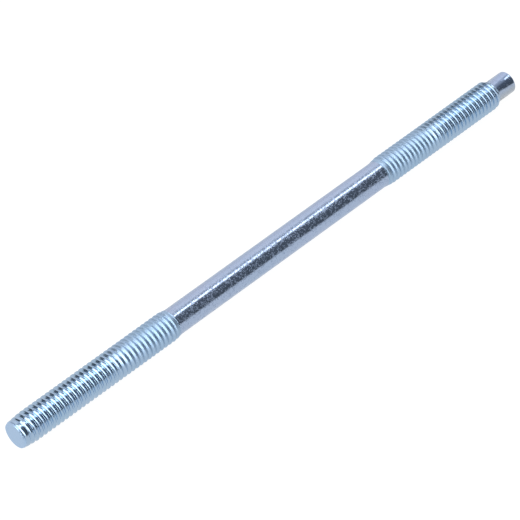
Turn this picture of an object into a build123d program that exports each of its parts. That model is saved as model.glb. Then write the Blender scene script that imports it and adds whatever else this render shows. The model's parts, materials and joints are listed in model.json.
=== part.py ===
from build123d import *
import os

# Cylinder head stud: one steel rod, turned to shape, thread-rolled at both ends and zinc plated.
# Millimetres. It lies along X on the plane z = 0: the nut end is at -X, the dog point that
# enters the casting is at +X, and the origin is under the middle of its length.
# Both rolled threads are M6 x 1 right-hand, and are carried here as cylinders at crest diameter.

overall_length = 128.0
thread_diameter = 5.94      # over the plated crests of an M6 thread
crest_rise = 0.295          # rolling lifts the crests this far above the blank, which is the shank
dog_step = 0.68             # the dog is this far inside the crests, to clear the tapped hole

nut_thread_length = 36.4    # from the nut end's face to the last full crest
nut_thread_runout = 1.6     # crests sink into the shank
block_thread_length = 29.0  # full crests, between its run-out and the shoulder
block_thread_runout = 2.1
shoulder_length = 1.15      # cone between the last full crest and the dog
dog_length = 4.55
dog_edge_radius = 0.4

nut_lead_length = 3.0       # from the nut end's face to the first full crest
nut_lead_depth = 0.27       # crests start this far down, where the end chamfer meets them
nut_chamfer_length = 0.45
nut_chamfer_depth = 0.175

# Radii that follow from the thread.
thread_radius = thread_diameter / 2
shank_radius = thread_radius - crest_rise
dog_radius = thread_radius - dog_step
nut_lead_radius = thread_radius - nut_lead_depth
nut_face_radius = nut_lead_radius - nut_chamfer_depth

# Stations along the rod, measured from the nut end's face.
nut_thread_end = nut_thread_length + nut_thread_runout
dog_start = overall_length - dog_length
block_thread_end = dog_start - shoulder_length
block_thread_start = block_thread_end - block_thread_length
shank_end = block_thread_start - block_thread_runout

# The half section stands on the rod's axis: x runs from the nut end's face, y is the radius.
axis_start = (-overall_length / 2, 0, thread_radius)
section_plane = Plane(origin=axis_start, x_dir=(1, 0, 0), z_dir=(0, -1, 0))

with BuildPart() as cylinder_head_stud:
    with BuildSketch(section_plane):
        with BuildLine():
            Polyline(
                (0, 0),
                (0, nut_face_radius),
                (nut_chamfer_length, nut_lead_radius),
                (nut_lead_length, thread_radius),
                (nut_thread_length, thread_radius),
                (nut_thread_end, shank_radius),
                (shank_end, shank_radius),
                (block_thread_start, thread_radius),
                (block_thread_end, thread_radius),
                (dog_start, dog_radius),
                (overall_length, dog_radius),
                (overall_length, 0),
                close=True,
            )
        make_face()
    revolve(axis=Axis(axis_start, (1, 0, 0)))
    dog_rim = cylinder_head_stud.edges().filter_by(GeomType.CIRCLE).sort_by(Axis.X)[-1]
    fillet(dog_rim, radius=dog_edge_radius)

cylinder_head_stud.part.label = "cylinder_head_stud"

os.makedirs("parts", exist_ok=True)
export_step(cylinder_head_stud.part, "parts/cylinder_head_stud.step")
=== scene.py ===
import json
import math

import bmesh
import bpy
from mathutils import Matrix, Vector


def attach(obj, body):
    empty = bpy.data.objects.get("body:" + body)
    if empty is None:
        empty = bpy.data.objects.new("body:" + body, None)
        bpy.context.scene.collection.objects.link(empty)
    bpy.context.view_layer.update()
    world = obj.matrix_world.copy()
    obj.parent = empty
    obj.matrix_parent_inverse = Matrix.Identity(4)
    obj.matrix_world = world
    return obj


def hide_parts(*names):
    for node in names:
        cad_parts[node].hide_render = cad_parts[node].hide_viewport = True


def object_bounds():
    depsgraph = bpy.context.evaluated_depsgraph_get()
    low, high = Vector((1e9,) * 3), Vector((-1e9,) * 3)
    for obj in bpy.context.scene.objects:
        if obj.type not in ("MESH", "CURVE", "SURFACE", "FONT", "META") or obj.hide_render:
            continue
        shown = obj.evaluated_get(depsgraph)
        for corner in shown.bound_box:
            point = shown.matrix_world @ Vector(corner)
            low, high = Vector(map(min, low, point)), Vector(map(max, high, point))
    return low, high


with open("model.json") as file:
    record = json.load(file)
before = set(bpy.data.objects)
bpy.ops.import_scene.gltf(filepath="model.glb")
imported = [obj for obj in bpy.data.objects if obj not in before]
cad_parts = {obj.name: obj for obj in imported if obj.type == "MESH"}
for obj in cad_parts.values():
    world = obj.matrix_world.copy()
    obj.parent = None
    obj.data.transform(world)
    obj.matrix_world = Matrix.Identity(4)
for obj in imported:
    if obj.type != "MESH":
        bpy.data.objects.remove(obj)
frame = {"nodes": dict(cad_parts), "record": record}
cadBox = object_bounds()
low, high = cadBox
mm = 0.001
near = 1e-3      # millimetres: stations and radii this close are the same
onPlane = 1e-5   # and points this close to a cut are on it

# places, from the frame: what runs along the stud is in millimetres from the nut end's face
mounts = {m["name"]: m for m in frame["record"]["mounts"]}
threadRadius = mounts["nut_thread"]["dims"]["r_mm"]
dogRadius = mounts["dog_point"]["dims"]["r_mm"]
studLength = (high.x - low.x) / mm
axisHeight = low.z + threadRadius * mm


def wallOf(name):
    # where a round mount's wall starts and ends
    middle = (mounts[name]["pos_m"][0] - low.x) / mm
    half = mounts[name]["dims"]["length_mm"] / 2
    return middle - half, middle + half


def sectionOf(node):
    # the turned half section, as (distance, radius) at each of its corners
    corners = {}
    for vertex in frame["nodes"][node].data.vertices:
        distance = round((vertex.co.x - low.x) / mm, 3)
        corners[distance] = math.hypot(vertex.co.y, vertex.co.z - axisHeight) / mm
    return sorted(corners.items())


section = sectionOf("cylinder_head_stud")
nutThreadEnd = wallOf("nut_thread")[1]
blockThreadStart, blockThreadEnd = wallOf("block_thread")
shankRadius = min(r for x, r in section if nutThreadEnd < x < blockThreadStart)
shankCorners = [x for x, r in section if nutThreadEnd < x < blockThreadStart and r < shankRadius + near]
shankStart, shankEnd = shankCorners[0], shankCorners[-1]
dogStart = next(x for x, r in section if x > blockThreadEnd and r < dogRadius + near)
print("frame read: shank from", shankStart, "to", shankEnd, "mm, dog point from", dogStart, "mm")


# M6 x 1 right-hand rolled threads, in millimetres and degrees
thread = {
    "pitch": 1.0,
    "nutDepth": 0.42,
    "blockDepth": 0.5,
    "rootRadius": 0.1,
    "crestRadius": 0.05,
    "nutFlank": 38,           # half angles: rolling and plating leave them duller than a cut thread's
    "blockFlank": 32,
    "crestShare": 0.6,        # how much of the flat of each pitch is crest, and not root
    "softDepth": 0.27,        # towards the shank the rolls left a rounder, shallower wave
    "nutSoftFrom": 20.0,      # where that starts and where it is complete, from each thread's own end
    "nutSoftTo": 27.0,
    "blockSoftFrom": 15.0,
    "blockSoftTo": 21.0,
    "stepsPerTurn": 60,
    "nutTurn": 0.0,           # how far round each helix starts, in turns
    "blockTurn": -0.38,
    "leadIn": 0.35,           # the groove deepens over this much of the nut end
    "nutFade": 1.3,           # and dies out over this much at the shank
    "blockFade": 1.6,
    "endEdge": 0.45,          # the sawn end's finish runs over its rounded rim as far as here
    "shankLap": 0.5,          # and the shank's over each run-out by this much
    "sharpEdge": 50,
}

# the material slot of each finish: as rolled, as drawn, as cut off and as turned
finishSlots = {"rolled": 0, "drawn": 1, "cut": 2, "turned": 3}


def turnedRadius(distance):
    # the radius that the section allows there
    for (x0, r0), (x1, r1) in zip(section, section[1:]):
        if distance <= x1:
            return r0 + (r1 - r0) * max(distance - x0, 0) / (x1 - x0)
    return section[-1][1]


def riseBetween(value, start, end):
    # 0 before the start, 1 past the end and smooth between them
    share = min(max((value - start) / (end - start), 0), 1)
    return share * share * (3 - 2 * share)


def groovePoints(depth, flankAngle):
    # one pitch from root to root, as (distance, height above the root)
    slope = math.radians(90 - flankAngle)
    rootR, crestR = thread["rootRadius"], thread["crestRadius"]
    root = [(rootR * math.sin(slope * k / 2), rootR * (1 - math.cos(slope * k / 2))) for k in range(3)]
    flankTop = root[-1][0] + (depth - root[-1][1]) / math.tan(slope)
    crestCorner = crestR * math.tan(slope / 2)
    rootFlat = (1 - thread["crestShare"]) * (thread["pitch"] / 2 - flankTop - crestCorner)
    centre = flankTop + crestCorner
    crest = [(centre - crestR * math.sin(slope * k / 2), depth - crestR * (1 - math.cos(slope * k / 2)))
             for k in (2, 0)]
    (x0, h0), (x1, h1) = root[-1], crest[0]
    flank = [(x0 + (x1 - x0) * k, h0 + (h1 - h0) * k) for k in (0.15, 0.5, 0.85)]
    half = [(0, 0)] + [(x + rootFlat, h) for x, h in root + flank + crest] + [(thread["pitch"] / 2, depth)]
    return half + [(thread["pitch"] - x, h) for x, h in half[-2::-1]]


def cutAcross(bm, distance, clearBelow=False, clearAbove=False):
    bmesh.ops.bisect_plane(bm, geom=bm.verts[:] + bm.edges[:] + bm.faces[:], dist=onPlane,
                           plane_co=(distance, 0, 0), plane_no=(1, 0, 0),
                           clear_inner=clearBelow, clear_outer=clearAbove)


def rimAt(bm, distance):
    # the open edges at one station
    return [e for e in bm.edges if e.is_boundary and all(abs(v.co.x - distance) < near for v in e.verts)]


def evenRim(bm, distance):
    # leaves one point for each step of the turn, so that two rims can meet
    steps = thread["stepsPerTurn"]
    onStep = 1e-2    # of a step
    kept, loose = {}, []
    for vertex in {v for e in rimAt(bm, distance) for v in e.verts}:
        place = math.atan2(vertex.co.z, vertex.co.y) * steps / (2 * math.pi)
        nearest = round(place)
        if abs(place - nearest) < onStep:
            kept[nearest % steps] = vertex
        else:
            loose.append((vertex, nearest % steps))
    bmesh.ops.weld_verts(bm, targetmap={vertex: kept[step] for vertex, step in loose})


def rollThread(start, end, name, grooveShare, softShare):
    # grooves on a helix over the blank between two stations, open at both ends
    bm = bmesh.new()
    steps = thread["stepsPerTurn"]
    pitch = thread["pitch"]
    depth = thread[name + "Depth"]
    first = start - pitch * (1 + thread[name + "Turn"] % 1)
    points = [bm.verts.new((first + x, threadRadius - depth + h, 0))
              for x, h in groovePoints(depth, thread[name + "Flank"])]
    lines = [bm.edges.new(pair) for pair in zip(points, points[1:])]
    bmesh.ops.spin(bm, geom=points + lines, cent=(0, 0, 0), axis=(1, 0, 0),
                   dvec=(pitch / steps, 0, 0), angle=2 * math.pi, steps=steps,
                   use_merge=False, use_duplicate=False)

    # the first turn is copied to past the end: it starts up to two turns before the blank
    oneTurn = bm.verts[:] + bm.edges[:] + bm.faces[:]
    for turn in range(1, math.ceil((end - start) / pitch) + 3):
        copied = bmesh.ops.duplicate(bm, geom=oneTurn)["geom"]
        moved = [g for g in copied if isinstance(g, bmesh.types.BMVert)]
        bmesh.ops.translate(bm, vec=(pitch * turn, 0, 0), verts=moved)
    bmesh.ops.remove_doubles(bm, verts=bm.verts, dist=near)
    for corner in [x for x, r in section if start < x < end]:
        cutAcross(bm, corner)
    cutAcross(bm, start, clearBelow=True)
    cutAcross(bm, end, clearAbove=True)

    # the grooves fade to the blank, turn to a soft wave and stay inside the section
    for vertex in bm.verts:
        distance, y, z = vertex.co
        radius = math.hypot(y, z)
        phase = (distance - first) / pitch - math.atan2(z, y) / (2 * math.pi)
        wave = threadRadius - thread["softDepth"] * (0.5 + 0.5 * math.cos(2 * math.pi * phase))
        soft = softShare(distance)
        wanted = radius * (1 - soft) + wave * soft
        if wanted < shankRadius:
            wanted = shankRadius - (shankRadius - wanted) * grooveShare(distance)
        wanted = min(wanted, turnedRadius(distance))
        vertex.co = (distance, y * wanted / radius, z * wanted / radius)
    evenRim(bm, start)
    evenRim(bm, end)
    return bm


def extendRim(bm, rim, stations, slot):
    # carries an open rim on to each (distance, radius)
    for distance, radius in stations:
        grown = bmesh.ops.extrude_edge_only(bm, edges=rim)["geom"]
        rim = [g for g in grown if isinstance(g, bmesh.types.BMEdge)]
        for face in {f for e in rim for f in e.link_faces}:
            face.material_index = slot
        for vertex in [g for g in grown if isinstance(g, bmesh.types.BMVert)]:
            now = math.hypot(vertex.co.y, vertex.co.z)
            vertex.co = (distance, vertex.co.y * radius / now, vertex.co.z * radius / now)
    return rim


def capRim(bm, rim):
    for face in bmesh.ops.edgeloop_fill(bm, edges=rim)["faces"]:
        face.material_index = finishSlots["cut"]


def makeStud():
    nutThread = rollThread(
        0, shankStart, "nut",
        lambda x: riseBetween(x, 0, thread["leadIn"]) * riseBetween(shankStart - x, 0, thread["nutFade"]),
        lambda x: riseBetween(x, thread["nutSoftFrom"], thread["nutSoftTo"]))
    blockThread = rollThread(
        shankEnd, dogStart, "block",
        lambda x: riseBetween(x - shankEnd, 0, thread["blockFade"]),
        lambda x: riseBetween(dogStart - x, thread["blockSoftFrom"], thread["blockSoftTo"]))
    print("threads rolled:", len(nutThread.faces), "and", len(blockThread.faces), "faces")

    # both threads in one mesh
    spare = bpy.data.meshes.new("spare")
    blockThread.to_mesh(spare)
    blockThread.free()
    bm = nutThread
    bm.from_mesh(spare)
    bpy.data.meshes.remove(spare)
    for face in bm.faces:
        middle = face.calc_center_median().x
        if middle < thread["endEdge"]:
            face.material_index = finishSlots["cut"]
        elif shankStart - thread["shankLap"] < middle < shankEnd + thread["shankLap"]:
            face.material_index = finishSlots["drawn"]

    # the shank joins the two threads, and the dog carries on to its rounded rim
    extendRim(bm, rimAt(bm, shankStart), [(shankEnd, shankRadius)], finishSlots["drawn"])
    meeting = [v for v in bm.verts if abs(v.co.x - shankEnd) < near]
    bmesh.ops.remove_doubles(bm, verts=meeting, dist=10 * near)
    dog = [(x, r) for x, r in section if x > dogStart + near]
    capRim(bm, extendRim(bm, rimAt(bm, dogStart), dog, finishSlots["turned"]))
    capRim(bm, rimAt(bm, 0))
    bmesh.ops.recalc_face_normals(bm, faces=bm.faces)
    bmesh.ops.scale(bm, vec=(mm, mm, mm), verts=bm.verts)
    bmesh.ops.translate(bm, vec=(low.x, 0, axisHeight), verts=bm.verts)
    mesh = bpy.data.meshes.new("rolled_stud")
    bm.to_mesh(mesh)
    bm.free()
    mesh.shade_smooth()
    mesh.set_sharp_from_angle(angle=math.radians(thread["sharpEdge"]))
    piece = bpy.data.objects.new("rolled_stud", mesh)
    bpy.context.scene.collection.objects.link(piece)
    return piece


def linear(code):
    # an sRGB hex colour as the linear values that shaders take
    parts = [int(code[i:i + 2], 16) / 255 for i in (1, 3, 5)]
    return [c / 12.92 if c <= 0.04045 else ((c + 0.055) / 1.055) ** 2.4 for c in parts] + [1]


def perMetre(size):
    # texture scale for a pattern of that size in millimetres
    return 1 / (size * mm)


def addNode(tree, kind, settings=None, links=None):
    # a node with its settings and links: a socket goes by its name, or by its number where names repeat
    node = tree.nodes.new(kind)
    for key, value in (settings or {}).items():
        if isinstance(key, int) or (key in node.inputs and not hasattr(node, key)):
            node.inputs[key].default_value = value
        else:
            setattr(node, key, value)
    for key, (source, output) in (links or {}).items():
        tree.links.new(source.outputs[output], node.inputs[key])
    return node


def fillRamp(node, stops):
    # the stops of a colour ramp, as (position, colour)
    elements = node.color_ramp.elements
    elements.remove(elements[0])
    for number, (position, colour) in enumerate(stops):
        element = elements[0] if number == 0 else elements.new(position)
        element.position = position
        element.color = colour


# bright zinc plating on steel under a clear blue chromate, one finish for each surface below it:
# tints, roughness, and the crystals' grain and height in millimetres and their cover
plating = {
    # burnished by the thread dies: a clear bluish mirror, duller where the dies hardly touched
    "rolled": {"tint": "#a9c8e2", "driftTint": "#b2c8e2",
               "roughness": 0.13, "softRoughness": 0.5, "blockRoughness": 0.24,
               "grain": 0.14, "cover": (0.5, 0.68), "height": 0.002},
    # drawn bar: a mirror with a bright speckle, because dull crystals stand on it
    "drawn": {"tint": "#acc2de", "driftTint": "#b6c4e0",
              "roughness": 0.11, "spotRoughness": 0.55,
              "grain": 0.4, "cover": (0.5, 0.62), "height": 0.005},
    # sawn and deburred: pale and matt, so that it shows one even tone
    "cut": {"tint": "#b2d0ee", "driftTint": "#b8d2f0",
            "roughness": 0.35,
            "grain": 0.3, "cover": (0.4, 0.7), "height": 0.003},
    # finely turned: a darker mirror with few crystals, with a painted reflection by height: rose low on the
    # side and blue on top
    "turned": {"tint": "#b0bcc8", "driftTint": "#b4bcc8", "paintedReflectionTint": "#aec2e2",
               "roughness": 0.12, "spotRoughness": 0.4,
               "grain": 0.5, "cover": (0.54, 0.66), "height": 0.005},
    "driftSize": 7,           # the tint drifts from place to place over this many millimetres
    "paintedReflectionFrom": 0.1,       # and the painted reflection rises to its blue top tint between these heights, as shares of the dog's radius
    "paintedReflectionTo": 0.8,
}


def zincPlate(name):
    # a bluish mirror, with small raised crystals that scatter what it reflects
    look = plating[name]
    material = bpy.data.materials.new("zinc_on_" + name + "_steel")
    material.use_nodes = True
    tree = material.node_tree
    tree.nodes.clear()
    place = addNode(tree, "ShaderNodeTexCoord")
    parts = addNode(tree, "ShaderNodeSeparateXYZ", links={"Vector": (place, "Object")})
    shader = addNode(tree, "ShaderNodeBsdfPrincipled", {"Metallic": 1.0, "Roughness": look["roughness"]})

    # of a colour mix, sockets 6 and 7 are its two colours and output 2 is the result
    drift = addNode(tree, "ShaderNodeTexNoise", {"Scale": perMetre(plating["driftSize"]), "Detail": 2.0},
                    {"Vector": (place, "Object")})
    tint = addNode(tree, "ShaderNodeMix",
                   {"data_type": "RGBA", 6: linear(look["tint"]), 7: linear(look["driftTint"])},
                   {0: (drift, "Fac")})
    if "paintedReflectionTint" in look:
        # painted reflection: rose low on the side and blue on top, by height above the axis
        reflectionRise = addNode(tree, "ShaderNodeMapRange",
                       {"From Min": axisHeight + plating["paintedReflectionFrom"] * dogRadius * mm,
                        "From Max": axisHeight + plating["paintedReflectionTo"] * dogRadius * mm},
                       {"Value": (parts, "Z")})
        tint = addNode(tree, "ShaderNodeMix", {"data_type": "RGBA", 7: linear(look["paintedReflectionTint"])},
                       {0: (reflectionRise, "Result"), 6: (tint, 2)})
    tree.links.new(tint.outputs[2], shader.inputs["Base Color"])

    grain = addNode(tree, "ShaderNodeTexNoise",
                    {"Scale": perMetre(look["grain"]), "Detail": 1.5, "Roughness": 0.5, "Distortion": 1.2},
                    {"Vector": (place, "Object")})
    crystals = addNode(tree, "ShaderNodeMapRange",
                       {"interpolation_type": "SMOOTHSTEP",
                        "From Min": look["cover"][0], "From Max": look["cover"][1]},
                       {"Value": (grain, "Fac")})
    bump = addNode(tree, "ShaderNodeBump", {"Distance": look["height"] * mm, "Strength": 1.0},
                   {"Height": (crystals, "Result")})
    tree.links.new(bump.outputs["Normal"], shader.inputs["Normal"])

    if "spotRoughness" in look:
        # the crystals are dull too
        dull = addNode(tree, "ShaderNodeMapRange",
                       {"To Min": look["roughness"], "To Max": look["spotRoughness"]},
                       {"Value": (crystals, "Result")})
        tree.links.new(dull.outputs["Result"], shader.inputs["Roughness"])
    if "softRoughness" in look:
        # duller where the thread is a soft wave, by the distance along the stud
        share = addNode(tree, "ShaderNodeMapRange", {"From Min": low.x, "From Max": high.x},
                        {"Value": (parts, "X")})
        ramp = addNode(tree, "ShaderNodeValToRGB", links={"Fac": (share, "Result")})
        stops = ((thread["nutSoftFrom"], "roughness"), (thread["nutSoftTo"], "softRoughness"),
                 (dogStart - thread["blockSoftTo"], "softRoughness"),
                 (dogStart - thread["blockSoftFrom"], "blockRoughness"))
        fillRamp(ramp, [(distance / studLength, [look[key]] * 3 + [1]) for distance, key in stops])
        tree.links.new(ramp.outputs["Color"], shader.inputs["Roughness"])
    addNode(tree, "ShaderNodeOutputMaterial", links={"Surface": (shader, 0)})
    return material


studPiece = makeStud()
for finish in finishSlots:
    studPiece.data.materials.append(zincPlate(finish))
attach(studPiece, "root")
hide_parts("cylinder_head_stud")
print("stud made:", len(studPiece.data.polygons), "faces")


# the white table, in metres: lit from inside, so that shadows stay faint
table = {
    "halfSize": 3.0,
    "glow": 0.95,
    "colour": "#606060",
    "mirroredGlow": 0.8,      # a second sheet just below is what the plating mirrors
    "mirroredColour": "#202020",
    "mirroredDrop": 0.0002,
    "roughness": 0.9,
}


def makeTable(name, drop, glow, colour):
    bm = bmesh.new()
    bmesh.ops.create_grid(bm, x_segments=1, y_segments=1, size=table["halfSize"])
    mesh = bpy.data.meshes.new(name)
    bm.to_mesh(mesh)
    bm.free()
    sheet = bpy.data.objects.new(name, mesh)
    sheet.location = (0, 0, low.z - drop)
    bpy.context.scene.collection.objects.link(sheet)
    material = bpy.data.materials.new(name + "_acrylic")
    material.use_nodes = True
    shader = material.node_tree.nodes["Principled BSDF"]
    shader.inputs["Base Color"].default_value = linear(colour)
    shader.inputs["Roughness"].default_value = table["roughness"]
    shader.inputs["Specular IOR Level"].default_value = 0.0
    shader.inputs["Emission Color"].default_value = linear("#ffffff")
    shader.inputs["Emission Strength"].default_value = glow
    mesh.materials.append(material)
    return sheet


seenTable = makeTable("floor", 0, table["glow"], table["colour"])
seenTable.visible_glossy = False
mirroredTable = makeTable("floor_bounce", table["mirroredDrop"], table["mirroredGlow"],
                          table["mirroredColour"])
mirroredTable.visible_camera = False
print("table made")

# the softboxes, in metres, each facing a point
lights = {
    "strip": {"centre": (0.34, 0.03, 0.6), "towards": (0.34, 0.03, 0),
              "sizeX": 0.7, "sizeY": 0.14, "radiance": 2.4},
    "top_softbox": {"centre": (-0.32, 0.05, 0.6), "towards": (-0.32, 0.05, 0),
                    "sizeX": 0.6, "sizeY": 0.46, "radiance": 2.05},
    "left_softbox": {"centre": (-0.5, -0.34, 0.5), "towards": (0, 0, 0),
                     "sizeX": 0.7, "sizeY": 0.5, "radiance": 0.5},
    "end_softbox": {"centre": (-0.7, -0.22, 0.3), "towards": (0, 0, 0.1),
                    "sizeX": 1.4, "sizeY": 0.56, "radiance": 2.8},
}


def addLight(name, centre, towards, sizeX, sizeY, radiance):
    light = bpy.data.lights.new(name, "AREA")
    light.shape = "RECTANGLE"
    light.size, light.size_y = sizeX, sizeY
    light.energy = radiance * math.pi * sizeX * sizeY
    holder = bpy.data.objects.new(name, light)
    holder.location = centre
    holder.rotation_euler = (Vector(towards) - Vector(centre)).to_track_quat("-Z", "Y").to_euler()
    holder.visible_camera = False
    bpy.context.scene.collection.objects.link(holder)


for name, light in lights.items():
    addLight(name, **light)
print("lights made:", len(lights))

# the walls of the light tent round the stud's axis, by their angle in degrees: 0 is straight up and
# 90 is level on the near side
room = {
    "walls": ((-180, "#e4e4e4"), (-90, "#e8e2e4"), (-50, "#fffafa"), (-34, "#fffafa"), (-28, "#d0d0d4"),
              (-16, "#b8bac0"), (8, "#989ca2"), (20, "#64686e"), (60, "#5a5e62"), (80, "#5a5e62"),
              (88, "#e0e0e0"), (180, "#e4e4e4")),
    "leftWall": "#50565c",    # the walls dim to this towards the nut end, from the first of these
    "leftFrom": -0.15,        # parts of the way there to the second
    "leftTo": -0.45,
}


def makeWorld():
    world = bpy.data.worlds.new("studio")
    bpy.context.scene.world = world
    world.use_nodes = True
    tree = world.node_tree
    tree.nodes.clear()
    place = addNode(tree, "ShaderNodeTexCoord")
    direction = addNode(tree, "ShaderNodeSeparateXYZ", links={"Vector": (place, "Generated")})
    nearSide = addNode(tree, "ShaderNodeMath", {"operation": "MULTIPLY", 1: -1}, {0: (direction, "Y")})
    angle = addNode(tree, "ShaderNodeMath", {"operation": "ARCTAN2"}, {0: (nearSide, 0), 1: (direction, "Z")})
    around = addNode(tree, "ShaderNodeMapRange", {"From Min": -math.pi, "From Max": math.pi},
                     {"Value": (angle, 0)})
    walls = addNode(tree, "ShaderNodeValToRGB", links={"Fac": (around, "Result")})
    fillRamp(walls, [((degrees + 180) / 360, linear(colour)) for degrees, colour in room["walls"]])
    across = addNode(tree, "ShaderNodeMapRange", {"From Min": room["leftTo"], "From Max": room["leftFrom"]},
                     {"Value": (direction, "X")})
    dimmed = addNode(tree, "ShaderNodeMix", {"data_type": "RGBA", 6: linear(room["leftWall"])},
                     {0: (across, "Result"), 7: (walls, "Color")})

    # what lights the stud, and the plain white that is seen behind it
    lighting = addNode(tree, "ShaderNodeBackground", {"Strength": 1.0}, {"Color": (dimmed, 2)})
    backdrop = addNode(tree, "ShaderNodeBackground", {"Color": linear("#ffffff"), "Strength": 1.0})
    rays = addNode(tree, "ShaderNodeLightPath")
    both = addNode(tree, "ShaderNodeMixShader",
                   links={0: (rays, "Is Camera Ray"), 1: (lighting, 0), 2: (backdrop, 0)})
    addNode(tree, "ShaderNodeOutputWorld", links={"Surface": (both, 0)})


makeWorld()
print("room made")

# in degrees and metres, and its aim in millimetres from the middle of the stud's underside
camera = {"azimuth": -44.81, "elevation": 46.47, "distance": 0.5609, "lens": 211.3,
          "aimX": -3.82, "aimZ": 2.84, "sensorWidth": 36, "clipStart": 0.01}


def makeCamera():
    holder = bpy.data.objects.new("camera", bpy.data.cameras.new("camera"))
    bpy.context.scene.collection.objects.link(holder)
    a, e = math.radians(camera["azimuth"]), math.radians(camera["elevation"])
    back = Vector((math.sin(a) * math.cos(e), -math.cos(a) * math.cos(e), math.sin(e)))
    aim = Vector((camera["aimX"], 0, camera["aimZ"])) * mm
    holder.location = aim + back * camera["distance"]
    holder.rotation_euler = back.to_track_quat("Z", "Y").to_euler()
    holder.data.lens = camera["lens"]
    holder.data.sensor_width = camera["sensorWidth"]
    holder.data.clip_start = camera["clipStart"]
    bpy.context.scene.camera = holder


makeCamera()
bpy.context.scene.view_settings.view_transform = "Standard"
print("camera made")
